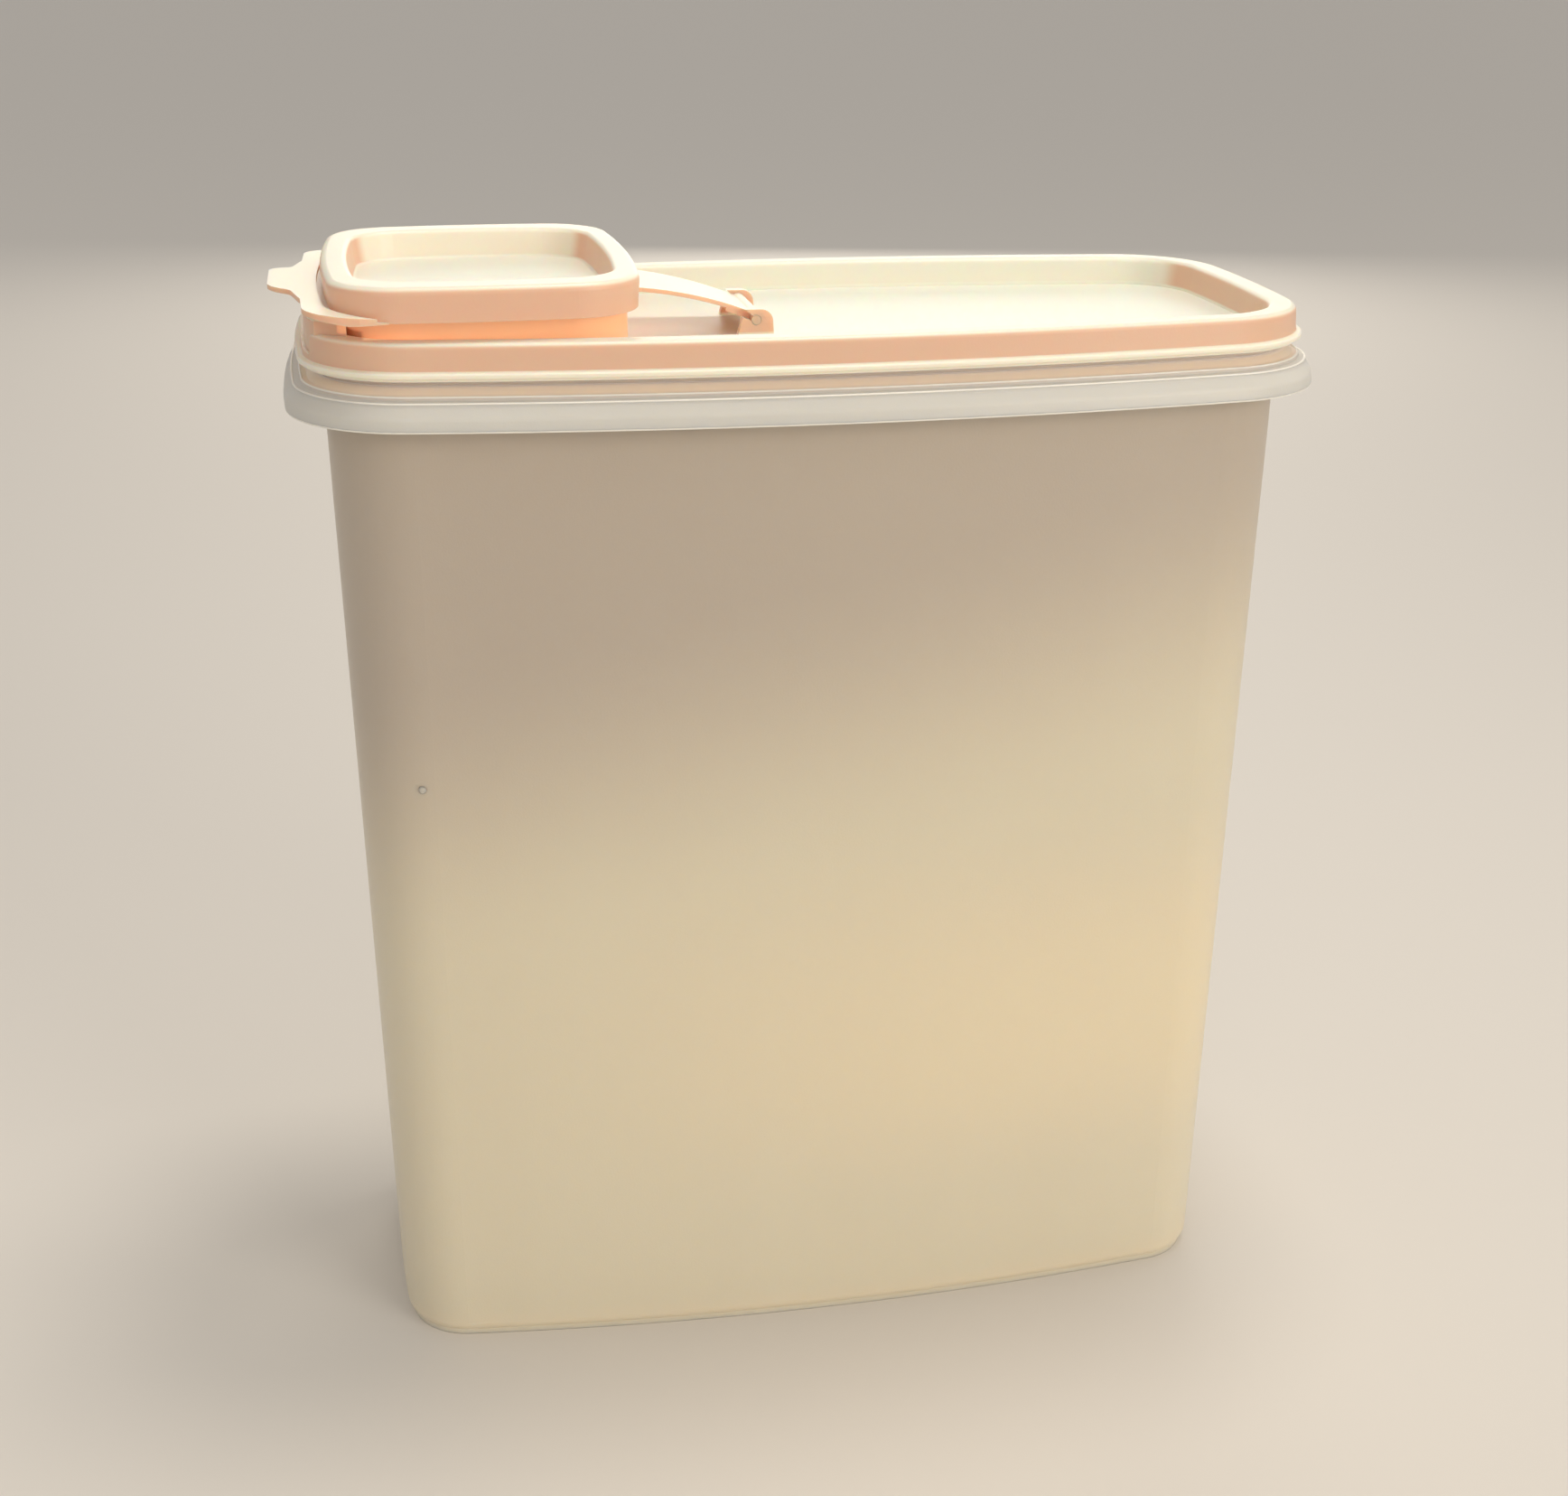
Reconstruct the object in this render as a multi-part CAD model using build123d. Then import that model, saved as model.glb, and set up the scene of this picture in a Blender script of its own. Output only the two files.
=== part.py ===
from build123d import *
import math
import os

# Dry food container: a tall tapered body, a lid that presses on to its rim,
# and a pour cap that flips on the lid. Millimetres, +Z up. The origin is on
# the surface that the body stands on, under its middle. The spout is at -X.

# ---- driving dimensions ------------------------------------------------------

# Rim skirt: the widest outline of the body. Every rim section is measured inwards from it.
RIM_HALF_LENGTH = 127.0
RIM_HALF_DEPTH = 61.0
RIM_LONG_BOW = 11.0
RIM_SHORT_BOW = 4.5
RIM_CORNER = 31.5

# Foot of the body
BASE_HALF_LENGTH = 112.7
BASE_HALF_DEPTH = 48.5
BASE_LONG_BOW = 8.0
BASE_SHORT_BOW = 3.6
BASE_CORNER = 17.5

# Heights
UNDERSIDE_Z = 0.9
BODY_FLOOR_Z = 3.0
SKIRT_LOW_Z = 250.5
WALL_TOP_Z = 252.0
LIP_TOP_Z = 267.8
LID_LOW_Z = 261.0
LID_FLOOR_Z = 262.3
LID_ROOF_Z = 268.3
LID_CREST_Z = 269.4
SHELF_ROOF_Z = 271.3
SHELF_TOP_Z = 272.6
COLLAR_TOP_Z = 276.2
CAP_LOW_Z = 273.5
CAP_PANEL_Z = 274.5
CAP_ROOF_Z = 280.1
CAP_CREST_Z = 281.5

# Walls
BODY_WALL = 1.6
LID_FLOOR_WALL = 1.3
COLLAR_WALL = 1.1
WALL_INSET = 9.5
BASE_ROUND = 3.6
INSIDE_ROUND = 5.0
FOOT_INSET = 1.3
FOOT_WIDTH = 3.2
FOOT_OVERLAP = 1.4

# How far a cutting or keeping block reaches past the shape that it works on
REACH = 5.0
EDGE_TOLERANCE = 0.01

# Section of the body's rim, as (inset from the skirt, height, rounding): the inner wall and
# the rolled lip, the neck, two fine ridges, the flared skirt, then the skirt's underside
BODY_RIM_SECTION = [
    (WALL_INSET + BODY_WALL, WALL_TOP_Z, 0),
    (WALL_INSET + BODY_WALL, 254.2, 2.0),
    (9.7, 257.4, 2.0),
    (9.7, 264.6, 0.4),
    (10.7, 265.4, 0.3),
    (10.7, LIP_TOP_Z, 1.2),
    (7.7, LIP_TOP_Z, 1.2),
    (7.7, 259.0, 1.0),
    (5.6, 257.8, 0.4),
    (4.5, 257.75, 0.2),
    (4.1, 257.5, 0),
    (3.9, 256.9, 0.2),
    (2.4, 256.6, 0),
    (2.1, 256.4, 0),
    (1.9, 255.8, 0),
    (0.5, 253.4, 3.0),
    (0.0, SKIRT_LOW_Z, 0.4),
    (1.3, SKIRT_LOW_Z, 0.3),
    (1.9, 253.0, 3.0),
    (3.5, 255.2, 1.0),
    (7.6, 255.9, 1.0),
    (9.0, 254.6, 1.5),
    (WALL_INSET, WALL_TOP_Z, 0),
]

# Section of the lid's edge, in the same terms: an inverted channel over the lip, with a bead
# at its foot, a wall, a broad crest and the wall that goes down to the sunk floor
CHANNEL_OUTER_INSET = 7.3
CHANNEL_INNER_INSET = 11.2
WELL_INSET = 13.1
FLOOR_INSET = 12.0
LID_SECTION = [
    (CHANNEL_OUTER_INSET, LID_LOW_Z, 0.2),
    (4.7, LID_LOW_Z, 0.2),
    (4.6, 261.6, 0),
    (3.6, 261.8, 0.4),
    (3.5, 263.0, 0.6),
    (5.0, 263.2, 0.4),
    (5.5, LID_CREST_Z, 1.4),
    (12.0, LID_CREST_Z, 1.4),
    (WELL_INSET, LID_FLOOR_Z, 0),
    (WELL_INSET, LID_LOW_Z, 0),
    (CHANNEL_INNER_INSET, LID_LOW_Z, 0.3),
    (CHANNEL_INNER_INSET, LID_ROOF_Z, 0.8),
    (CHANNEL_OUTER_INSET, LID_ROOF_Z, 0.8),
]

# Pour shelf: the lid's edge is higher under the front of the cap, between two slanted ends
SHELF_HALF_WIDTH_OUT = 29.4
SHELF_HALF_WIDTH_IN = 37.0
SHELF_PLAN_X = -111.0
SHELF_FACE_INSET = 5.9
SHELF_BACK_INSET = 12.2
SHELF_ROUND = 0.6
SHELF_OVERLAP = 1.0
SHELF_HOLLOW_HALF_WIDTH = 30.5
SHELF_HOLLOW_MARGIN = 0.4
SHELF_FACE_LOW_Z = 264.6
SHELF_FACE_HALF_WIDTH = 32.0
SHELF_SLIT_WIDTH = 0.8
SHELF_SLIT_INSET = 6.5
FRONT_WINDOW_LENGTH = 30.0

# Spout collar
COLLAR_CENTRE_X = -78.6
COLLAR_HALF_LENGTH = 33.9
COLLAR_HALF_DEPTH = 42.2
COLLAR_LONG_BOW = 4.5
COLLAR_SHORT_BOW = 3.0
COLLAR_CORNER = 15.5
COLLAR_ROUND = 0.35

# Cap
CAP_CENTRE_X = -79.2
CAP_HALF_LENGTH = 37.2
CAP_HALF_DEPTH = 48.0
CAP_LONG_BOW = 2.2
CAP_SHORT_BOW = 3.2
CAP_CORNER = 17.0
CAP_PLATE_INSET = 2.0
PLUG_CLEARANCE = 0.8
PLUG_SHIFT_X = -0.35
PLUG_PLATE_OVERLAP = 0.8
PANEL_INSET = 3.4

# Sections of the cap, as (inset, height, rounding): its outer wall, measured from the cap's
# outline, and the wall that plugs the collar, measured from the plug's outline
CAP_WALL_SECTION = [
    (0.5, CAP_LOW_Z, 0.3),
    (0.0, CAP_CREST_Z, 1.7),
    (2.6, CAP_CREST_Z, 0),
    (2.6, CAP_ROOF_Z, 0),
    (1.6, CAP_ROOF_Z, 0.6),
    (2.0, CAP_LOW_Z, 0.3),
]
PLUG_SECTION = [
    (-1.4, CAP_CREST_Z, 0),
    (0.9, CAP_CREST_Z, 1.3),
    (2.1, CAP_PANEL_Z, 0.9),
    (4.0, CAP_PANEL_Z, 0),
    (4.0, CAP_LOW_Z, 0),
    (0.3, CAP_LOW_Z, 0.3),
    (0.0, CAP_ROOF_Z, 0.4),
    (-1.4, CAP_ROOF_Z, 0),
]

# Flange round the front of the cap. Its side view rises towards the thumb tab.
FLANGE_HALF_LENGTH = 42.1
FLANGE_HALF_DEPTH = 48.9
FLANGE_LONG_BOW = 1.5
FLANGE_SHORT_BOW = 1.2
FLANGE_CORNER = 10.5
FLANGE_SIDE_VIEW = [
    (-101.5, 274.65),
    (-135.0, 277.6),
    (-135.0, 276.5),
    (-120.0, 275.05),
    (-110.0, CAP_LOW_Z),
    (-101.5, CAP_LOW_Z),
]
FLANGE_TIP = [(-101.5, 46.8), (-111.5, 49.0), (-135.0, 49.0)]
FLANGE_OVERLAP = 1.2
GROOVE_WIDTH = 1.0
GROOVE_DEPTH = 0.8

# Half of the thumb tab's plan, as (x, y, rounding), from its root to its tip
TAB_PLAN = [(-118.0, 30.0, 0), (-121.0, 27.0, 6.0), (-123.3, 16.0, 3.0), (-128.6, 13.0, 7.0)]

# Hinge: pins on the cap, and ears on the lid with a slot that each pin snaps into
HINGE_X = -12.9
HINGE_Z = 266.0
PIN_RADIUS = 1.15
PIN_CLEARANCE = 0.06
EAR_INNER_Y = 12.4
EAR_OUTER_Y = 15.0
EAR_FOOT_Z = 261.8
EAR_TOP_Z = 268.6
EAR_PROFILE = [(-17.5, EAR_FOOT_Z, 0), (-8.5, EAR_FOOT_Z, 0), (-8.9, EAR_TOP_Z, 3.0), (-15.7, EAR_TOP_Z, 0)]
EAR_SLOT = [(-18.0, 267.3), (-13.4, 265.6), (-13.4, 266.7), (-18.0, 270.7)]

# Strap between the cap and the hinge: an arched plate with a thicker end round the pins
STRAP_HALF_WIDTH_CAP = 14.0
STRAP_HALF_WIDTH_HINGE = 12.0
STRAP_TOP = [(-43.2, 274.7), (-30.0, 272.6), (-14.2, 267.7)]
STRAP_UNDER = [(-43.2, 273.7), (-30.15, 271.6), (-14.5, 266.7)]
STRAP_HALF_PLAN = [
    (-44.2, STRAP_HALF_WIDTH_CAP + 2.0),
    (-40.7, STRAP_HALF_WIDTH_CAP),
    (-20.9, STRAP_HALF_WIDTH_HINGE),
    (-8.9, STRAP_HALF_WIDTH_HINGE),
]
HEEL_PROFILE = [(-19.6, 269.2, 0), (-20.1, 267.9, 0.4), (-14.2, 265.7, 0), (-13.0, 267.4, 0)]
KNUCKLE_RADIUS = 1.95


# ---- outlines ----------------------------------------------------------------


class Outline:
    """A rounded rectangle with four sides that bow outwards: eight tangent arcs."""

    def __init__(self, half_length, half_depth, long_radius, short_radius, corner, centre_x=0.0):
        self.half_length = half_length
        self.half_depth = half_depth
        self.long_radius = long_radius
        self.short_radius = short_radius
        self.corner = corner
        self.centre_x = centre_x

    def inset(self, distance, shift_x=0.0):
        """The parallel outline that lies this far inside: each arc keeps its centre."""
        return Outline(
            self.half_length - distance,
            self.half_depth - distance,
            self.long_radius - distance,
            self.short_radius - distance,
            self.corner - distance,
            self.centre_x + shift_x,
        )

    def corner_centre(self):
        """Centre of the +X +Y corner arc, tangent inside a long side and a short side."""
        short_x = self.half_length - self.short_radius
        long_y = self.half_depth - self.long_radius
        to_short = self.short_radius - self.corner
        to_long = self.long_radius - self.corner
        apart = math.hypot(short_x, long_y)
        along = (to_short**2 - to_long**2 + apart**2) / (2 * apart)
        across = math.sqrt(to_short**2 - along**2)
        unit_x = -short_x / apart
        unit_y = long_y / apart
        x = short_x + along * unit_x - across * unit_y
        y = along * unit_y + across * unit_x
        return abs(x), abs(y)

    def arcs(self):
        """(centre x, centre y, radius, start angle, sweep) of the arcs, anticlockwise."""
        x, y = self.corner_centre()
        short_x = self.half_length - self.short_radius
        long_y = self.half_depth - self.long_radius
        turn_short = math.degrees(math.atan2(y, x - short_x))
        turn_long = math.degrees(math.atan2(y - long_y, x))
        corner_sweep = turn_long - turn_short
        rows = [
            (short_x, 0.0, self.short_radius, -turn_short, 2 * turn_short),
            (x, y, self.corner, turn_short, corner_sweep),
            (0.0, long_y, self.long_radius, turn_long, 180 - 2 * turn_long),
            (-x, y, self.corner, 180 - turn_long, corner_sweep),
            (-short_x, 0.0, self.short_radius, 180 - turn_short, 2 * turn_short),
            (-x, -y, self.corner, 180 + turn_short, corner_sweep),
            (0.0, -long_y, self.long_radius, 180 + turn_long, 180 - 2 * turn_long),
            (x, -y, self.corner, 360 - turn_long, corner_sweep),
        ]
        return [(cx + self.centre_x, cy, r, start, sweep) for cx, cy, r, start, sweep in rows]

    def face(self, z):
        edges = [
            Edge.make_circle(r, Plane((cx, cy, z)), start_angle=start, end_angle=start + sweep)
            for cx, cy, r, start, sweep in self.arcs()
        ]
        return Face(Wire(edges))

    def prism(self, low, high):
        return extrude(self.face(low), amount=high - low)


def bowed(half_length, half_depth, long_bow, short_bow, corner, centre_x=0.0):
    """An Outline from how far each side bows out between the box's corners."""
    long_radius = (half_length**2 + long_bow**2) / (2 * long_bow)
    short_radius = (half_depth**2 + short_bow**2) / (2 * short_bow)
    return Outline(half_length, half_depth, long_radius, short_radius, corner, centre_x)


def ring(outline, section):
    """Carry a section round an outline. Its points are (inset, height, rounding)."""
    points = [(inset, z) for inset, z, rounding in section]
    rounding = [r for inset, z, r in section]
    pieces = []
    for cx, cy, radius, start, sweep in outline.arcs():
        angle = math.radians(start)
        out = Vector(math.cos(angle), math.sin(angle), 0)
        plane = Plane(origin=(cx, cy, 0), x_dir=out, z_dir=out.cross(Vector(0, 0, 1)))
        corners = [(radius - inset, z) for inset, z in points]
        profile = make_face(plane * FilletPolyline(*corners, radius=rounding, close=True))
        axis = Axis((cx, cy, 0), (0, 0, 1))
        pieces.append(revolve(profile, axis=axis, revolution_arc=sweep))
    return pieces[0].fuse(*pieces[1:]).clean()


def rounded_face(points):
    """A face from corners given as (across, up, rounding)."""
    corners = [(across, up) for across, up, rounding in points]
    return make_face(FilletPolyline(*corners, radius=[r for across, up, r in points], close=True))


def side_profile(face, half_width):
    """A solid from a face drawn in X and Z, as thick as given on both sides of y = 0."""
    return extrude(Plane.XZ * face, amount=half_width, both=True)


def bottom_edges(solid, z):
    return solid.edges().filter_by_position(Axis.Z, z - EDGE_TOLERANCE, z + EDGE_TOLERANCE)


def front_window(half_width, low, high):
    """A block over the spout end of the rim, to keep or cut only what lies there."""
    block = Box(FRONT_WINDOW_LENGTH, 2 * half_width, high - low)
    return Pos(-RIM_HALF_LENGTH, 0, (low + high) / 2) * block


rim = bowed(RIM_HALF_LENGTH, RIM_HALF_DEPTH, RIM_LONG_BOW, RIM_SHORT_BOW, RIM_CORNER)
base = bowed(BASE_HALF_LENGTH, BASE_HALF_DEPTH, BASE_LONG_BOW, BASE_SHORT_BOW, BASE_CORNER)
cap_outline = bowed(
    CAP_HALF_LENGTH, CAP_HALF_DEPTH, CAP_LONG_BOW, CAP_SHORT_BOW, CAP_CORNER, CAP_CENTRE_X
)
flange_outline = bowed(
    FLANGE_HALF_LENGTH, FLANGE_HALF_DEPTH, FLANGE_LONG_BOW, FLANGE_SHORT_BOW, FLANGE_CORNER, CAP_CENTRE_X
)
collar_outline = bowed(
    COLLAR_HALF_LENGTH, COLLAR_HALF_DEPTH, COLLAR_LONG_BOW, COLLAR_SHORT_BOW, COLLAR_CORNER, COLLAR_CENTRE_X
)
plug_outline = collar_outline.inset(COLLAR_WALL + PLUG_CLEARANCE, PLUG_SHIFT_X)


# ---- container body ----------------------------------------------------------


def container_body():
    outer = loft([base.face(UNDERSIDE_Z), rim.inset(WALL_INSET).face(WALL_TOP_Z)], ruled=True)
    outer = fillet(bottom_edges(outer, UNDERSIDE_Z), BASE_ROUND)
    mouth = rim.inset(WALL_INSET + BODY_WALL)
    cavity = loft([base.inset(BODY_WALL).face(BODY_FLOOR_Z), mouth.face(WALL_TOP_Z)], ruled=True)
    cavity = fillet(bottom_edges(cavity, BODY_FLOOR_Z), INSIDE_ROUND)
    foot = base.inset(FOOT_INSET).prism(0, UNDERSIDE_Z + FOOT_OVERLAP)
    foot -= base.inset(FOOT_INSET + FOOT_WIDTH).prism(0, UNDERSIDE_Z)
    return outer + foot - cavity + ring(rim, BODY_RIM_SECTION)


# ---- lid ---------------------------------------------------------------------


def pour_shelf():
    """The higher stretch of the lid's edge, in front of the collar."""
    low = LID_CREST_Z - SHELF_OVERLAP
    plan = Polyline(
        (SHELF_PLAN_X, -SHELF_HALF_WIDTH_IN),
        (SHELF_PLAN_X, SHELF_HALF_WIDTH_IN),
        (-RIM_HALF_LENGTH, SHELF_HALF_WIDTH_OUT),
        (-RIM_HALF_LENGTH, -SHELF_HALF_WIDTH_OUT),
        close=True,
    )
    band = rim.inset(SHELF_FACE_INSET).prism(low, SHELF_TOP_Z)
    band -= rim.inset(SHELF_BACK_INSET).prism(low, SHELF_TOP_Z)
    shelf = band & extrude(Plane((0, 0, low)) * make_face(plan), amount=SHELF_TOP_Z - low)
    return fillet(shelf.faces().sort_by(Axis.Z)[-1].edges(), SHELF_ROUND)


def shelf_hollow():
    """The channel over the lip runs deeper under the shelf, so its walls stay even."""
    low = LID_ROOF_Z - SHELF_HOLLOW_MARGIN
    hollow = rim.inset(CHANNEL_OUTER_INSET + SHELF_HOLLOW_MARGIN).prism(low, SHELF_ROOF_Z)
    hollow -= rim.inset(CHANNEL_INNER_INSET - SHELF_HOLLOW_MARGIN).prism(low, SHELF_ROOF_Z)
    return hollow & front_window(SHELF_HOLLOW_HALF_WIDTH, low, SHELF_ROOF_Z)


def shelf_face_step():
    """The shelf's front face is set back, and a fine slit marks each end of it."""
    low = SHELF_FACE_LOW_Z
    skin = rim.prism(low, SHELF_TOP_Z) - rim.inset(SHELF_FACE_INSET).prism(low, SHELF_TOP_Z)
    step = skin & front_window(SHELF_FACE_HALF_WIDTH, low, SHELF_TOP_Z)
    slits = front_window(SHELF_FACE_HALF_WIDTH, low, SHELF_TOP_Z)
    slits -= front_window(SHELF_FACE_HALF_WIDTH - SHELF_SLIT_WIDTH, low, SHELF_TOP_Z)
    slits -= rim.inset(SHELF_SLIT_INSET).prism(low, SHELF_TOP_Z)
    return step + slits


def hinge_ears():
    """Two upright ears on the lid's floor. A wedge-shaped slot lets each pin snap in."""
    bore = Pos(HINGE_X, HINGE_Z) * Circle(PIN_RADIUS + PIN_CLEARANCE)
    profile = rounded_face(EAR_PROFILE) - bore - make_face(Polyline(*EAR_SLOT, close=True))
    width = EAR_OUTER_Y - EAR_INNER_Y
    near_ear = Pos(0, -EAR_INNER_Y, 0) * extrude(Plane.XZ * profile, amount=width)
    return near_ear, mirror(near_ear, about=Plane.XZ)


def lid():
    floor_low = LID_FLOOR_Z - LID_FLOOR_WALL
    floor = rim.inset(FLOOR_INSET).prism(floor_low, LID_FLOOR_Z)
    collar = collar_outline.prism(floor_low, COLLAR_TOP_Z)
    opening = collar_outline.inset(COLLAR_WALL).prism(floor_low - REACH, COLLAR_TOP_Z + REACH)
    collar = collar - opening
    collar = fillet(collar.edges().filter_by_position(Axis.Z, COLLAR_TOP_Z, COLLAR_TOP_Z), COLLAR_ROUND)
    edge = ring(rim, LID_SECTION) - shelf_face_step() + pour_shelf() - shelf_hollow()
    near_ear, far_ear = hinge_ears()
    return edge + (floor - opening) + collar + near_ear + far_ear


# ---- flip cap ----------------------------------------------------------------


def both_sides(half):
    """Points given for one side, and their mirror images in reverse order."""
    return half + [(x, -y, *rest) for x, y, *rest in reversed(half)]


def flange_top_slab(above, below):
    """What lies this far above and below the flange's sloping top."""
    near, far = FLANGE_SIDE_VIEW[:2]
    upper = [(x, z + above) for x, z in (near, far)]
    lower = [(x, z - below) for x, z in (far, near)]
    return side_profile(make_face(Polyline(*upper, *lower, close=True)), FLANGE_HALF_DEPTH + REACH)


def cap_flange():
    """A crescent flange round the front of the cap, with a thumb tab and a groove behind it."""
    low = CAP_LOW_Z - REACH
    high = CAP_CREST_Z
    tab = extrude(Plane((0, 0, low)) * rounded_face(both_sides(TAB_PLAN)), amount=high - low)
    front = make_face(Polyline(*both_sides(FLANGE_TIP), close=True))
    front = extrude(Plane((0, 0, low)) * front, amount=high - low)
    slab = side_profile(make_face(Polyline(*FLANGE_SIDE_VIEW, close=True)), FLANGE_HALF_DEPTH + REACH)
    flange = (flange_outline.prism(low, high) + tab) & front & slab
    flange -= cap_outline.inset(FLANGE_OVERLAP).prism(low, high)
    groove = cap_outline.inset(-GROOVE_WIDTH).prism(low, high)
    groove -= cap_outline.inset(FLANGE_OVERLAP / 2).prism(low, high)
    return flange - (groove & flange_top_slab(GROOVE_DEPTH, GROOVE_DEPTH))


def strap():
    top = ThreePointArc(*STRAP_TOP)
    under = ThreePointArc(*reversed(STRAP_UNDER))
    edges = [top, Line(top @ 1, under @ 0), under, Line(under @ 1, top @ 0)]
    plate = side_profile(make_face(edges), STRAP_HALF_WIDTH_CAP + REACH)
    plan = make_face(Polyline(*both_sides(STRAP_HALF_PLAN), close=True))
    plate &= extrude(Plane((0, 0, HINGE_Z)) * plan, amount=CAP_CREST_Z - HINGE_Z)
    heel = side_profile(rounded_face(HEEL_PROFILE), STRAP_HALF_WIDTH_HINGE)
    knuckle = side_profile(Pos(HINGE_X, HINGE_Z) * Circle(KNUCKLE_RADIUS), STRAP_HALF_WIDTH_HINGE)
    pins = side_profile(Pos(HINGE_X, HINGE_Z) * Circle(PIN_RADIUS), EAR_OUTER_Y)
    return plate + heel + knuckle + pins


def flip_cap():
    plate = cap_outline.inset(CAP_PLATE_INSET).prism(CAP_ROOF_Z, CAP_CREST_Z)
    plate -= plug_outline.inset(-PLUG_PLATE_OVERLAP).prism(CAP_ROOF_Z, CAP_CREST_Z)
    panel = plug_outline.inset(PANEL_INSET).prism(CAP_LOW_Z, CAP_PANEL_Z)
    walls = ring(cap_outline, CAP_WALL_SECTION) + plate + ring(plug_outline, PLUG_SECTION)
    return walls + panel + cap_flange() + strap()


# ---- output ------------------------------------------------------------------

os.makedirs("parts", exist_ok=True)
for name, make in (("container_body", container_body), ("lid", lid), ("flip_cap", flip_cap)):
    solid = make()
    print(name, "solids", len(solid.solids()), "volume", round(solid.volume))
    export_step(solid, "parts/" + name + ".step")
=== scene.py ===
# %% [markdown]
# # A dry food keeper with a pour spout
#
# The real object is three plastic mouldings: a tall frosted body, a soft pink lid that presses on to its
# rim, and a pink pour cap that turns on the lid. The frame brings in the exact solids. This script adds the
# fine beads and moulding marks, and gives every piece its surface, light and view. Lengths are in metres.
# The origin is on the table under the middle of the body, with the spout at -X.

# %% Load the frame
import math

import bpy
from mathutils import Matrix, Vector


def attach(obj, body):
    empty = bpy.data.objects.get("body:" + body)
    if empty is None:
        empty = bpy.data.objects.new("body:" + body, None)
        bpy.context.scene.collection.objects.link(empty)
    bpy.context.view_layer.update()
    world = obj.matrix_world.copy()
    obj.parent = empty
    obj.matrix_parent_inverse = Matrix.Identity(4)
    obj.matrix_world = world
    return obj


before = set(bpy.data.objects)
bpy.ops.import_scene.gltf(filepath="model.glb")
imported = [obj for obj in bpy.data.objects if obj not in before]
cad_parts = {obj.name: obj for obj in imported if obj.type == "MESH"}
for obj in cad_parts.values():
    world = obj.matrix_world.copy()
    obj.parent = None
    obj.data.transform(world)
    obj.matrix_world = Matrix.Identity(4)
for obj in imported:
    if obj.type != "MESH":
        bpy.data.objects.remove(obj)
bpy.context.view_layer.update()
MM = 0.001
scene = bpy.context.scene

# %% [markdown]
# ## The camera
#
# The view comes first, because every later choice is judged through it. The place and angles were found
# by matching the rims, the foot and the upright edges of the object with their places in the picture.

# %% The camera
EYE = Vector((-0.1094, -0.5442, 0.3664))
TURN = 0.194
DOWN = 0.376
TILT = 0.006
FOCAL_PIXELS = 2442.6
FRAME_WIDTH_PIXELS = 1736
SENSOR_MM = 36

forward = Vector((math.sin(TURN) * math.cos(DOWN), math.cos(TURN) * math.cos(DOWN), -math.sin(DOWN)))
level = Vector((math.cos(TURN), -math.sin(TURN), 0))
upright = level.cross(forward)
right = math.cos(TILT) * level + math.sin(TILT) * upright
up = -math.sin(TILT) * level + math.cos(TILT) * upright

camera_data = bpy.data.cameras.new("photo_camera")
camera_data.sensor_width = SENSOR_MM
camera_data.sensor_fit = "HORIZONTAL"
camera_data.lens = FOCAL_PIXELS * SENSOR_MM / FRAME_WIDTH_PIXELS
camera = bpy.data.objects.new("photo_camera", camera_data)
axes = Matrix((right, up, -forward)).transposed()
camera.matrix_world = Matrix.Translation(EYE) @ axes.to_4x4()
scene.collection.objects.link(camera)
scene.camera = camera
print("lens", round(camera_data.lens, 2), "mm")

# %% [markdown]
# ## Sums on sockets
#
# A procedural material is mostly arithmetic. Drawing it as dozens of Math nodes hides the formula, so one
# small class wraps a socket and lets Python's own operators add the nodes. The same class serves the trees
# of Geometry Nodes further down, because both kinds of tree share the Math node.

# %% Sums on sockets
class Wire:
    """A node's output socket that can be used in ordinary sums."""

    def __init__(self, tree, socket):
        self.tree = tree
        self.socket = socket

    def math(self, operation, *values):
        return add_node(self.tree, "ShaderNodeMath", {"operation": operation}, dict(enumerate(values)))

    def __add__(self, other):
        return self.math("ADD", self, other)

    def __sub__(self, other):
        return self.math("SUBTRACT", self, other)

    def __mul__(self, other):
        return self.math("MULTIPLY", self, other)

    def __rsub__(self, other):
        return self.math("SUBTRACT", other, self)

    __radd__ = __add__
    __rmul__ = __mul__

    def rise(self, start, end):
        """0 below start, 1 above end, and a smooth step between them."""
        return add_node(
            self.tree,
            "ShaderNodeMapRange",
            {"interpolation_type": "SMOOTHSTEP"},
            {"Value": self, "From Min": start, "From Max": end},
        )


def add_node(tree, kind, settings=None, inputs=None, output=0):
    """Add a node: its settings first, then the value or the wire of each input socket."""
    node = tree.nodes.new(kind)
    for name, value in (settings or {}).items():
        setattr(node, name, value)
    for key, value in (inputs or {}).items():
        socket = node.inputs[key]
        if isinstance(value, Wire):
            tree.links.new(value.socket, socket)
        else:
            socket.default_value = value
    return Wire(tree, node.outputs[output])


def new_material(name):
    material = bpy.data.materials.new(name)
    material.use_nodes = True
    material.node_tree.nodes.clear()
    return material, material.node_tree


def finish_material(material, shader):
    tree = material.node_tree
    output = tree.nodes.new("ShaderNodeOutputMaterial")
    tree.links.new(shader.socket, output.inputs["Surface"])
    print("material", material.name, "nodes", len(tree.nodes))
    return material


def linear(red, green, blue):
    """A colour given as 0-255 display values, as the linear values that Blender works in."""
    def decode(value):
        share = value / 255
        return share / 12.92 if share <= 0.04045 else ((share + 0.055) / 1.055) ** 2.4
    return (decode(red), decode(green), decode(blue), 1.0)


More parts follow.
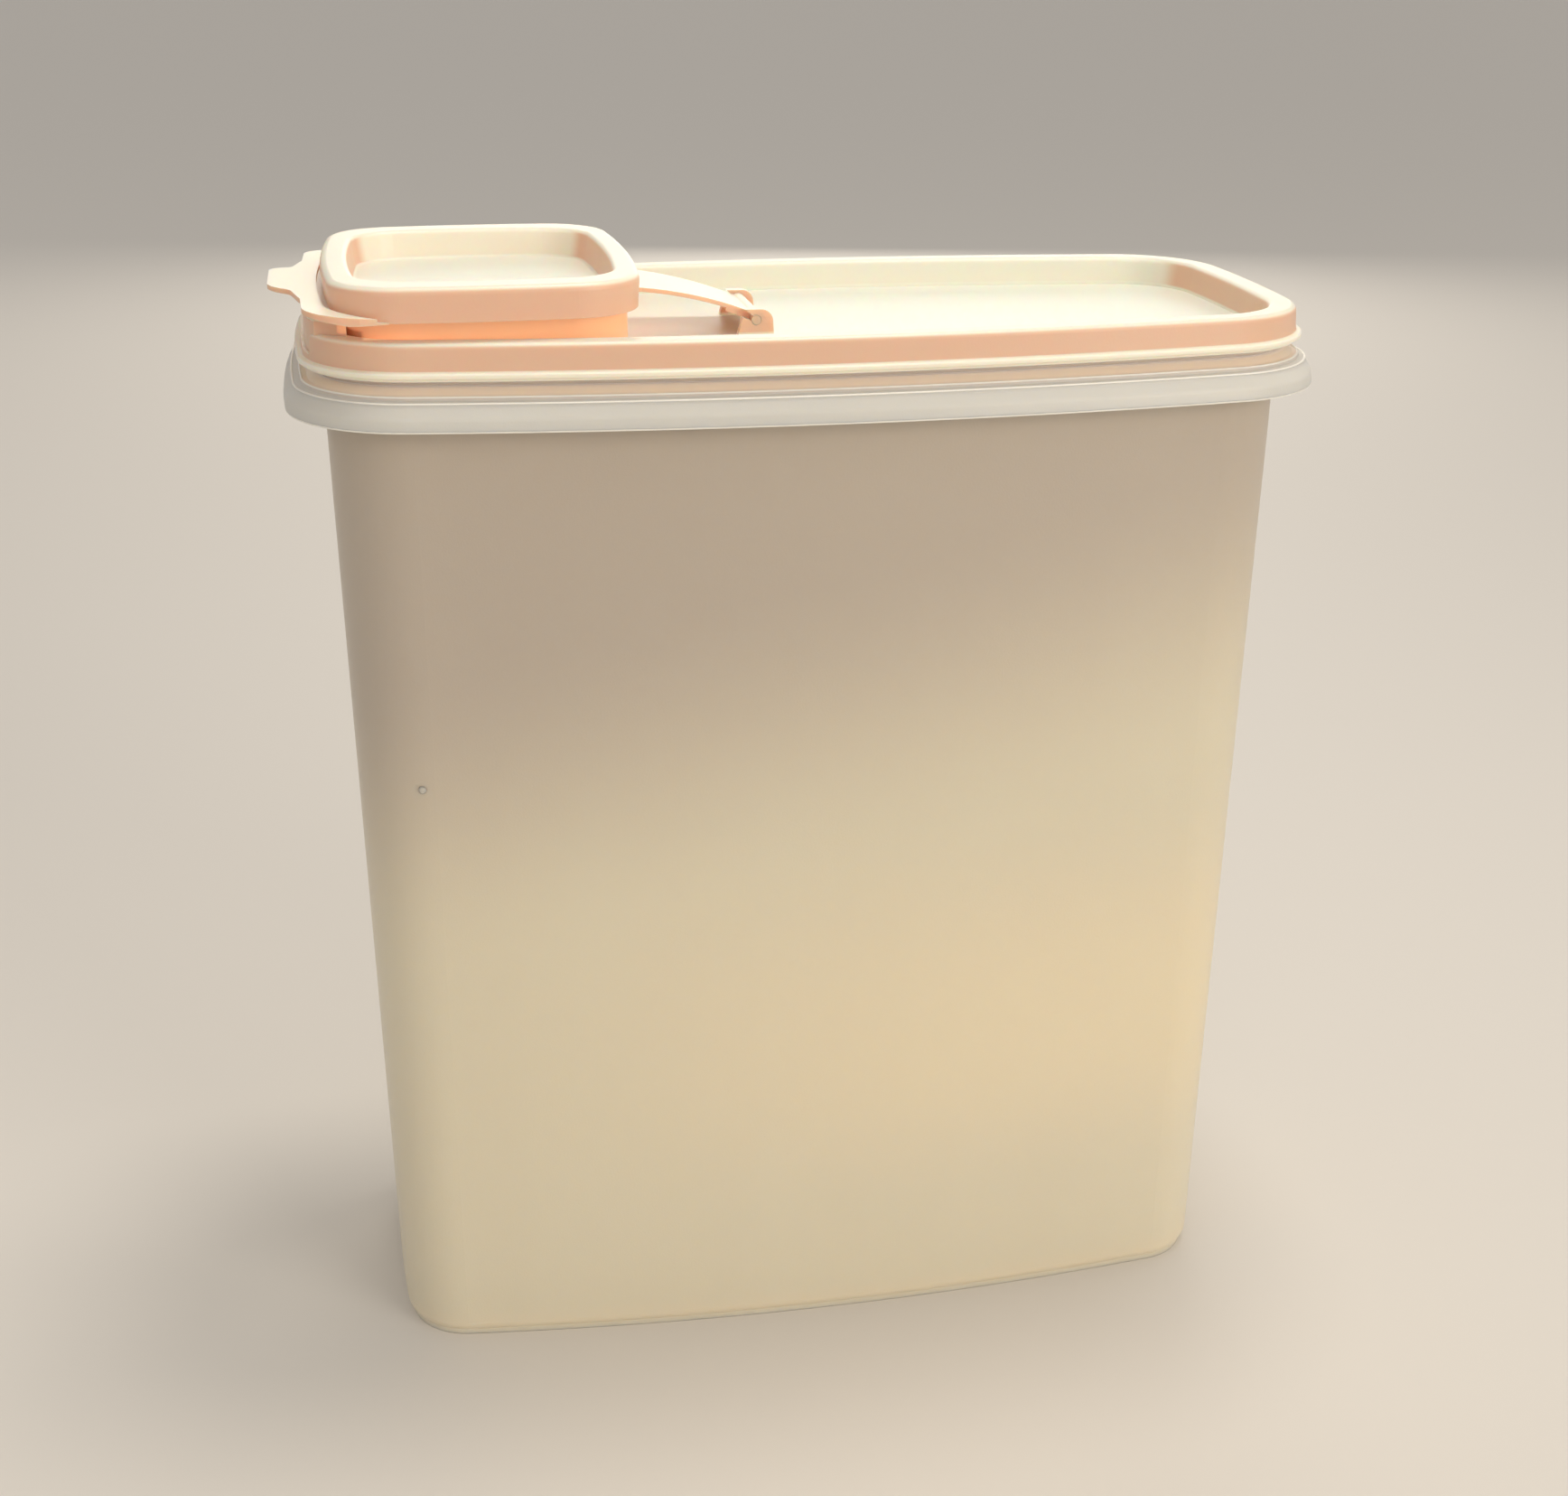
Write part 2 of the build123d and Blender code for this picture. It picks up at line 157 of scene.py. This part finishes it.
# %% [markdown]
# ## Light and floor
#
# The picture was taken under a strong light from above, which whitens every level face and leaves the upright
# faces in their own colour. A small lamp overhead does that. Three wide, soft ones light the upright faces:
# one behind the object, a stronger one at the front right, where the body is brightest, and a weak one at the
# front left. The floor is plain and very wide, so its far edge stays out of the camera's view.

# %% Light and floor
scene.view_settings.view_transform = "Standard"
WORLD_STRENGTH = 0.50
world = bpy.data.worlds.new("studio")
world.use_nodes = True
background = world.node_tree.nodes["Background"]
background.inputs["Color"].default_value = linear(255, 250, 244)
background.inputs["Strength"].default_value = WORLD_STRENGTH
scene.world = world


def lamp(name, place, target, size, power, colour):
    data = bpy.data.lights.new(name, "AREA")
    data.shape = "DISK"
    data.size = size
    data.energy = power
    data.color = colour[:3]
    lamp_object = bpy.data.objects.new(name, data)
    aim = Vector(target) - Vector(place)
    lamp_object.matrix_world = Matrix.Translation(place) @ aim.to_track_quat("-Z", "Y").to_matrix().to_4x4()
    scene.collection.objects.link(lamp_object)


WARM_LAMP = linear(255, 246, 232)
lamp("overhead", (0.16, 0.06, 1.25), (0, 0, 0.2), 0.32, 4.5, WARM_LAMP)
lamp("behind", (0.35, 1.60, 0.62), (0, 0, 0.12), 1.1, 5.0, WARM_LAMP)
lamp("front_right", (1.15, -1.60, 0.70), (0.05, 0, 0.08), 1.1, 13.5, WARM_LAMP)
lamp("front_left", (-0.35, -1.4, 0.75), (0, 0, 0.15), 1.0, 2.5, WARM_LAMP)

FLOOR_HALF = 40.0
floor_mesh = bpy.data.meshes.new("floor")
corners = [(-1, -1), (1, -1), (1, 1), (-1, 1)]
floor_mesh.from_pydata([(x * FLOOR_HALF, y * FLOOR_HALF, 0) for x, y in corners], [], [(0, 1, 2, 3)])
floor = bpy.data.objects.new("floor", floor_mesh)
scene.collection.objects.link(floor)
floor_paint, tree = new_material("floor_paint")
floor_shader = add_node(
    tree, "ShaderNodeBsdfPrincipled", None, {"Base Color": linear(226, 222, 216), "Roughness": 0.7}
)
floor_mesh.materials.append(finish_material(floor_paint, floor_shader))

# %% [markdown]
# ## The frosted plastic
#
# The body is thin, milky polypropylene. Light goes into the wall, scatters and comes out elsewhere, so
# subsurface scattering carries the look, with a reach of about the wall's thickness. The mould was lightly
# blasted, which shows as a fine grain. Plastic that ran up the tall wall leaves faint upright streaks. The
# neck's pink is a painted reflection of the lid that grips it, made paler to lift the shade there. The rolled
# rim and skirt get a paler colour of their own, painted light for the light that reaches them from all sides.
# The wall is painted darker towards the top, a painted shade, and warmer low on the near side, a painted
# light; both stand for light and shade that come through the real wall. Soft changes of the base colour carry
# them, so they stay with the part under any light.

# %% The frosted plastic
def object_place(tree):
    """Object coordinates, whole and as x, y and z."""
    where = add_node(tree, "ShaderNodeTexCoord", None, None, "Object")
    split = add_node(tree, "ShaderNodeSeparateXYZ", None, {"Vector": where})
    parts = [Wire(tree, split.socket.node.outputs[name]) for name in ("X", "Y", "Z")]
    return where, *parts


def noise(tree, where, scale, detail=2.0, stretch=None):
    """Soft noise from 0 to 1. A stretch of less than 1 along an axis draws it out that way."""
    if stretch:
        where = add_node(tree, "ShaderNodeMapping", None, {"Vector": where, "Scale": stretch})
    return add_node(tree, "ShaderNodeTexNoise", None, {"Vector": where, "Scale": scale, "Detail": detail})


def blend_colour(tree, share, first, second):
    """The first colour where share is 0, the second where it is 1."""
    return add_node(
        tree, "ShaderNodeMix", {"data_type": "RGBA"}, {0: share, 6: first, 7: second}, 2
    )


def relief(tree, height, depth, strength=1.0, under=None):
    inputs = {"Height": height, "Distance": depth, "Strength": strength}
    if under:
        inputs["Normal"] = under
    return add_node(tree, "ShaderNodeBump", None, inputs)


BODY_WALL_COLOUR = linear(230, 218, 194)
BODY_STREAK_COLOUR = linear(224, 211, 187)
BODY_PAINTED_SHADE_COLOUR = linear(189, 177, 164)
BODY_PAINTED_WARM_LIGHT_COLOUR = linear(247, 222, 190)
RIM_PAINTED_LIGHT_COLOUR = linear(210, 209, 204)
NECK_PAINTED_REFLECTION_COLOUR = linear(250, 230, 214)
SKIRT_LOW = 250.4 * MM
RIDGE_TOP = 257.6 * MM
NEAR_SIDE = (-0.04, 0.03)         # y: all near side before the first, all far side after the second
PAINTED_SHADE_ZONE = (0.13, 0.215)         # z where the painted shade of the upper wall starts and is full
PAINTED_SHADE_SLOPE = 0.22                 # how much higher it starts for each metre to the right
PAINTED_WARM_LIGHT_RISE = (0.03, 0.08)     # z where the painted warm light comes in
PAINTED_WARM_LIGHT_FALL = (0.09, 0.15)     # z where it goes out
PAINTED_WARM_LIGHT_LEFT = (-0.12, 0.05)    # x where it comes in

body_finish, tree = new_material("frosted_body")
where, x, y, z = object_place(tree)
streaks = noise(tree, where, 22.0, 4.0, (1.0, 1.0, 0.08))
cloud = noise(tree, where, 9.0, 2.0)
grain = noise(tree, where, 2200.0, 1.0)
ripple = noise(tree, where, 30.0, 1.0, (1.0, 1.0, 0.35))
wall_colour = blend_colour(tree, streaks, BODY_WALL_COLOUR, BODY_STREAK_COLOUR)
near = 1 - y.rise(*NEAR_SIDE)
# Painted shade: the upper wall is blended towards a darker tone, more on the near side.
painted_shade_share = (z - PAINTED_SHADE_SLOPE * x).rise(*PAINTED_SHADE_ZONE) * (0.8 + 0.2 * cloud) * (0.45 + 0.55 * near)
wall_colour = blend_colour(tree, painted_shade_share, wall_colour, BODY_PAINTED_SHADE_COLOUR)
# Painted light: a warmer patch low on the near side of the wall.
painted_warm_light_share = z.rise(*PAINTED_WARM_LIGHT_RISE) * (1 - z.rise(*PAINTED_WARM_LIGHT_FALL)) * x.rise(*PAINTED_WARM_LIGHT_LEFT)
painted_warm_light_share = painted_warm_light_share * near * (0.6 + 0.4 * cloud)
wall_colour = blend_colour(tree, painted_warm_light_share, wall_colour, BODY_PAINTED_WARM_LIGHT_COLOUR)
# Painted light: the rim and skirt get a paler colour of their own.
painted_rim_light_share = z.rise(SKIRT_LOW - 0.4 * MM, SKIRT_LOW)
colour = blend_colour(tree, painted_rim_light_share, wall_colour, RIM_PAINTED_LIGHT_COLOUR)
# Painted reflection: the neck takes the lid's pink, paler to lift the shade under the lid.
painted_neck_reflection_share = z.rise(RIDGE_TOP - 0.9 * MM, RIDGE_TOP + 0.6 * MM)
colour = blend_colour(tree, painted_neck_reflection_share, colour, NECK_PAINTED_REFLECTION_COLOUR)
surface = relief(tree, grain, 0.05 * MM, 0.5, relief(tree, ripple, 0.35 * MM, 0.35))
shader = add_node(tree, "ShaderNodeBsdfPrincipled", None, {
    "Base Color": colour,
    "Roughness": 0.34 + 0.10 * streaks,
    "Normal": surface,
    "Subsurface Weight": 0.8,
    "Subsurface Radius": (0.0040, 0.0034, 0.0026),
    "Subsurface Scale": 1.0,
})
finish_material(body_finish, shader)

# %% [markdown]
# Light runs inside the thin wall and leaves it at the edges. A near-white base colour paints that as a
# highlight on the fine beads.

# %% The painted highlight on the edges of the frosted plastic
painted_highlight_edge, tree = new_material("frosted_painted_highlight_edge")
shader = add_node(tree, "ShaderNodeBsdfPrincipled", None, {
    "Base Color": linear(252, 248, 236),
    "Roughness": 0.30,
    "Subsurface Weight": 0.5,
    "Subsurface Radius": (0.0010, 0.0009, 0.0007),
    "Subsurface Scale": 1.0,
})
finish_material(painted_highlight_edge, shader)

# %% [markdown]
# ## The pink plastic
#
# The lid and the cap are softer polyethylene, pink right through. Level faces are blended towards cream as a
# painted light, for light that falls straight on a thin level sheet and comes back from below. The direction
# that the surface faces, in the piece's own axes, gives that. The walls that face in across the well get the
# cream as a painted bounce light, and the bead along the lid's lower edge as a painted highlight. The spout's
# collar is the thinnest upright wall and lets light through. A lighter orange base colour and a weak orange
# emission paint that light.

# %% The pink plastic
PINK_WALL = linear(236, 198, 172)
PINK_FLOW = linear(230, 189, 161)
PAINTED_LIGHT_CREAM = linear(253, 246, 230)
COLLAR_PAINTED_LIGHT_ORANGE = linear(255, 190, 145)
COLLAR_GLOW = linear(140, 100, 74)
COLLAR_HINGE_SIDE = -44.4 * MM
COLLAR_SPOUT_SIDE = -113.4 * MM
COLLAR_LOW = 262.4 * MM
COLLAR_HIGH = 277.0 * MM
COLLAR_DEPTH = (42.4 * MM, 43.0 * MM)
RIM_CORNERS = (-108 * MM, -107 * MM)   # x: beyond the first, the lid's round corners reach into the zone
ABOVE_CREST = (269.6 * MM, 270.4 * MM)
EDGE_BEAD_TOP = (262.7 * MM, 263.3 * MM)
SOFT_EDGE = 1 * MM


def collar_share(x, y, z):
    """1 on the spout's collar and 0 on the rest of the lid."""
    above = z.rise(*ABOVE_CREST)
    zone = (1 - x.rise(COLLAR_HINGE_SIDE, COLLAR_HINGE_SIDE + SOFT_EDGE))
    zone = zone * x.rise(COLLAR_SPOUT_SIDE, COLLAR_SPOUT_SIDE + SOFT_EDGE)
    zone = zone * above.math("MAXIMUM", above, x.rise(*RIM_CORNERS))
    zone = zone * z.rise(COLLAR_LOW, COLLAR_LOW + SOFT_EDGE)
    zone = zone * (1 - z.rise(COLLAR_HIGH - SOFT_EDGE, COLLAR_HIGH))
    return zone * (1 - y.math("ABSOLUTE", y).rise(*COLLAR_DEPTH))


def pink_plastic(name, has_collar):
    material, tree = new_material(name)
    where, x, y, z = object_place(tree)
    normal = add_node(tree, "ShaderNodeTexCoord", None, None, "Normal")
    facing = add_node(tree, "ShaderNodeSeparateXYZ", None, {"Vector": normal}, "Z")
    sideways = add_node(tree, "ShaderNodeSeparateXYZ", None, {"Vector": normal}, "Y")
    flow = noise(tree, where, 26.0, 4.0, (0.35, 1.0, 1.0))
    fine = noise(tree, where, 1600.0, 1.0)
    ripple = noise(tree, where, 45.0, 1.0)
    colour = blend_colour(tree, flow, PINK_WALL, PINK_FLOW)
    glow = (0.0, 0.0, 0.0, 1.0)
    # Painted light: the collar gets a lighter orange and a weak orange glow for light passing through it.
    if has_collar:
        zone = collar_share(x, y, z)
        colour = blend_colour(tree, zone, colour, COLLAR_PAINTED_LIGHT_ORANGE)
        glow = blend_colour(tree, zone, glow, COLLAR_GLOW)
    # Painted light: level faces, walls facing in across the well and the lid's lower bead blend towards cream.
    painted_bounce_wall = (y * sideways).rise(-0.012, -0.024) * (1 - facing.rise(0.3, 0.9))
    painted_highlight_bead = 1 - z.rise(*EDGE_BEAD_TOP)
    painted_light_paleness = (painted_bounce_wall + painted_highlight_bead) * 0.85 + facing.rise(0.30, 0.80) * (0.72 + 0.2 * flow)
    colour = blend_colour(tree, painted_light_paleness.math("MINIMUM", painted_light_paleness, 0.95), colour, PAINTED_LIGHT_CREAM)
    surface = relief(tree, fine, 0.04 * MM, 0.4, relief(tree, ripple, 0.25 * MM, 0.3))
    shader = add_node(tree, "ShaderNodeBsdfPrincipled", None, {
        "Base Color": colour,
        "Roughness": 0.30 + 0.12 * flow,
        "Emission Color": glow,
        "Emission Strength": 1.0,
        "Normal": surface,
        "Subsurface Weight": 0.7,
        "Subsurface Radius": (0.0032, 0.0017, 0.0010),
        "Subsurface Scale": 1.0,
    })
    return finish_material(material, shader)


lid_finish = pink_plastic("pink_lid", True)
cap_finish = pink_plastic("pink_cap", False)
for node, material in (("container_body", body_finish), ("lid", lid_finish), ("flip_cap", cap_finish)):
    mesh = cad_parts[node].data
    mesh.materials.clear()
    mesh.materials.append(material)
    print(node, "triangles", len(mesh.polygons))

# %% [markdown]
# ## The rim's outline
#
# Every fine line on the rim runs parallel to one outline: a rectangle whose sides bow outwards and whose
# corners are round, made of eight arcs that meet without a corner. A line that lies inside it keeps the
# arcs' centres, so one drawn outline serves them all.

# %% The rim's outline
RIM_HALF_LENGTH = 127.0 * MM
RIM_HALF_DEPTH = 61.0 * MM
RIM_LONG_BOW = 11.0 * MM
RIM_SHORT_BOW = 4.5 * MM
RIM_CORNER = 31.5 * MM
POINTS_PER_ARC = 40


def bowed_outline(half_length, half_depth, long_bow, short_bow, corner):
    """Points round eight arcs, anticlockwise from the middle of the +X side."""
    long_radius = (half_length ** 2 + long_bow ** 2) / (2 * long_bow)
    short_radius = (half_depth ** 2 + short_bow ** 2) / (2 * short_bow)
    short_x = half_length - short_radius
    long_y = half_depth - long_radius
    apart = math.hypot(short_x, long_y)
    along = ((short_radius - corner) ** 2 - (long_radius - corner) ** 2 + apart ** 2) / (2 * apart)
    across = math.sqrt((short_radius - corner) ** 2 - along ** 2)
    corner_x = abs(short_x - (along * short_x + across * long_y) / apart)
    corner_y = abs(along * long_y - across * short_x) / apart
    turn_short = math.atan2(corner_y, corner_x - short_x)
    turn_long = math.atan2(corner_y - long_y, corner_x)
    quarter = []
    for centre, radius, start, end in (
        ((short_x, 0), short_radius, 0, turn_short),
        ((corner_x, corner_y), corner, turn_short, turn_long),
        ((0, long_y), long_radius, turn_long, math.pi / 2),
    ):
        for step in range(POINTS_PER_ARC):
            angle = start + (end - start) * step / POINTS_PER_ARC
            quarter.append((centre[0] + radius * math.cos(angle), centre[1] + radius * math.sin(angle)))
    top = (0, half_depth)
    half = quarter + [top] + [(-px, py) for px, py in reversed(quarter)]
    return half + [(px, -py) for px, py in reversed(half[1:-1])]


rim_points = bowed_outline(RIM_HALF_LENGTH, RIM_HALF_DEPTH, RIM_LONG_BOW, RIM_SHORT_BOW, RIM_CORNER)
print("outline points", len(rim_points), "reach", max(p[0] for p in rim_points), max(p[1] for p in rim_points))

# %% [markdown]
# ## Fine beads that follow the rim
#
# The body's neck carries three hair-thin beads that the lid's lip snaps over, and the ridges and the foot of
# the skirt end in a bead, whose near-white colour is a painted highlight. Each one is the same round section
# carried along the same outline, only at another inset and height. That is a rule, so one tree of Geometry
# Nodes makes them all: it draws the outline as a curve, moves it in along its own normal, lifts it, copies it
# upwards, and sweeps a small circle along it.

# %% Fine beads that follow the rim
def tree_input(tree, name, kind, value):
    socket = tree.interface.new_socket(name, in_out="INPUT", socket_type=kind)
    if value is not None:
        socket.default_value = value
    return socket.identifier


def bead_tree():
    tree = bpy.data.node_groups.new("rim_bead", "GeometryNodeTree")
    tree_input(tree, "Outline", "NodeSocketGeometry", None)
    names = {}
    for name, kind, value in (
        ("Inset", "NodeSocketFloat", 0.0),
        ("Height", "NodeSocketFloat", 0.25),
        ("Bead Radius", "NodeSocketFloat", 0.0003),
        ("Count", "NodeSocketInt", 1),
        ("Pitch", "NodeSocketFloat", 0.001),
        ("Material", "NodeSocketMaterial", None),
    ):
        names[name] = tree_input(tree, name, kind, value)
    tree.interface.new_socket("Beads", in_out="OUTPUT", socket_type="NodeSocketGeometry")
    group = tree.nodes.new("NodeGroupInput")
    given = {socket.name: Wire(tree, socket) for socket in group.outputs if socket.name}
    curve = add_node(tree, "GeometryNodeMeshToCurve", None, {"Mesh": given["Outline"]})
    curve = add_node(tree, "GeometryNodeSetCurveNormal", None, {"Curve": curve})
    normal = add_node(tree, "GeometryNodeInputNormal")
    copies = tree.nodes.new("GeometryNodeDuplicateElements")
    copies.domain = "SPLINE"
    tree.links.new(curve.socket, copies.inputs["Geometry"])
    tree.links.new(given["Count"].socket, copies.inputs["Amount"])
    which = Wire(tree, copies.outputs["Duplicate Index"])
    inward = add_node(
        tree, "ShaderNodeVectorMath", {"operation": "SCALE"}, {0: normal, "Scale": 0 - given["Inset"]}
    )
    lift = add_node(tree, "ShaderNodeCombineXYZ", None, {"Z": given["Height"] + which * given["Pitch"]})
    move = add_node(tree, "ShaderNodeVectorMath", {"operation": "ADD"}, {0: inward, 1: lift})
    copied = Wire(tree, copies.outputs["Geometry"])
    placed = add_node(tree, "GeometryNodeSetPosition", None, {"Geometry": copied, "Offset": move})
    circle = add_node(
        tree, "GeometryNodeCurvePrimitiveCircle", None, {"Resolution": 10, "Radius": given["Bead Radius"]}
    )
    swept = add_node(tree, "GeometryNodeCurveToMesh", None, {"Curve": placed, "Profile Curve": circle})
    smooth = add_node(tree, "GeometryNodeSetShadeSmooth", None, {0: swept})
    real = add_node(tree, "GeometryNodeRealizeInstances", None, {"Geometry": smooth})
    dressed = add_node(
        tree, "GeometryNodeSetMaterial", None, {"Geometry": real, "Material": given["Material"]}
    )
    output = tree.nodes.new("NodeGroupOutput")
    tree.links.new(dressed.socket, output.inputs["Beads"])
    return tree, names


BEAD_TREE, BEAD_INPUTS = bead_tree()


def rim_bead(name, finish, inset, height, radius, count=1, pitch=1.0):
    """One piece of beads round the rim. Lengths are in millimetres."""
    path = bpy.data.meshes.new(name + "_path")
    total = len(rim_points)
    path.from_pydata([(px, py, 0) for px, py in rim_points], [(i, (i + 1) % total) for i in range(total)], [])
    maker = bpy.data.objects.new(name + "_maker", path)
    scene.collection.objects.link(maker)
    modifier = maker.modifiers.new("beads", "NODES")
    modifier.node_group = BEAD_TREE
    values = {
        "Inset": inset * MM, "Height": height * MM, "Bead Radius": radius * MM,
        "Count": count, "Pitch": pitch * MM, "Material": finish,
    }
    for key, value in values.items():
        modifier[BEAD_INPUTS[key]] = value
    bpy.context.view_layer.update()
    made = maker.evaluated_get(bpy.context.evaluated_depsgraph_get())
    piece = bpy.data.objects.new(name, bpy.data.meshes.new_from_object(made))
    bpy.data.objects.remove(maker)
    scene.collection.objects.link(piece)
    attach(piece, "container")
    reach = [max(abs(v.co[axis]) for v in piece.data.vertices) * 1000 for axis in range(3)]
    print(name, "faces", len(piece.data.polygons), "reach", [round(value, 2) for value in reach])
    return piece


rim_bead("neck_beads", body_finish, 7.62, 259.6, 0.22, 3, 0.9)
# The ridge and skirt beads wear the painted highlight.
rim_bead("upper_ridge_bead", painted_highlight_edge, 4.28, 257.66, 0.26)
rim_bead("lower_ridge_bead", painted_highlight_edge, 2.32, 256.55, 0.24)
rim_bead("skirt_bead", painted_highlight_edge, 0.46, 250.60, 0.34)

# %% [markdown]
# ## Moulding marks
#
# A moulding keeps small marks: the gate where the plastic came in, and a nib where a speck sat in the mould.
# Each is a shallow dome. A ray from outside the piece finds the surface, so a mark always lies on it and
# leans with it.

# %% Moulding marks
MARK_RINGS = 6
MARK_SIDES = 24
MARK_SINK = 0.05   # the foot of the dome lies this far under the surface, in millimetres
NIB_START = (-100.2, -150, 160.2)


def mould_mark(name, node, body, finish, start, direction, radius, height):
    """A dome where the ray from start meets the piece. Lengths are in millimetres."""
    direction = Vector(direction)
    hit, place, normal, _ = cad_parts[node].ray_cast(Vector(start) * MM, direction)
    if not hit:
        print(name, "found no surface")
        return
    points = [(0, 0, height * MM)]
    for ring in range(1, MARK_RINGS + 1):
        turn = math.pi / 2 * ring / MARK_RINGS
        for side in range(MARK_SIDES):
            angle = 2 * math.pi * side / MARK_SIDES
            out = radius * math.sin(turn)
            rise = height * math.cos(turn) - (MARK_SINK if ring == MARK_RINGS else 0)
            points.append((out * math.cos(angle) * MM, out * math.sin(angle) * MM, rise * MM))
    faces = [(0, 1 + side, 1 + (side + 1) % MARK_SIDES) for side in range(MARK_SIDES)]
    for ring in range(MARK_RINGS - 1):
        first = 1 + ring * MARK_SIDES
        for side in range(MARK_SIDES):
            after = (side + 1) % MARK_SIDES
            faces.append((first + side, first + MARK_SIDES + side, first + MARK_SIDES + after, first + after))
    last = 1 + (MARK_RINGS - 1) * MARK_SIDES
    faces.append(tuple(last + side for side in reversed(range(MARK_SIDES))))
    lean = normal.to_track_quat("Z", "Y").to_matrix()
    mesh = bpy.data.meshes.new(name)
    mesh.from_pydata([place + lean @ Vector(point) for point in points], [], faces)
    mesh.shade_smooth()
    mesh.materials.append(finish)
    mark = bpy.data.objects.new(name, mesh)
    scene.collection.objects.link(mark)
    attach(mark, body)
    print(name, "at", [round(value * 1000, 2) for value in place])


mould_mark("wall_nib", "container_body", "container", body_finish, NIB_START, (0, 1, 0), 1.0, 0.6)
mould_mark("base_gate", "container_body", "container", body_finish, (0, 0, -5), (0, 0, 1), 2.6, 0.3)
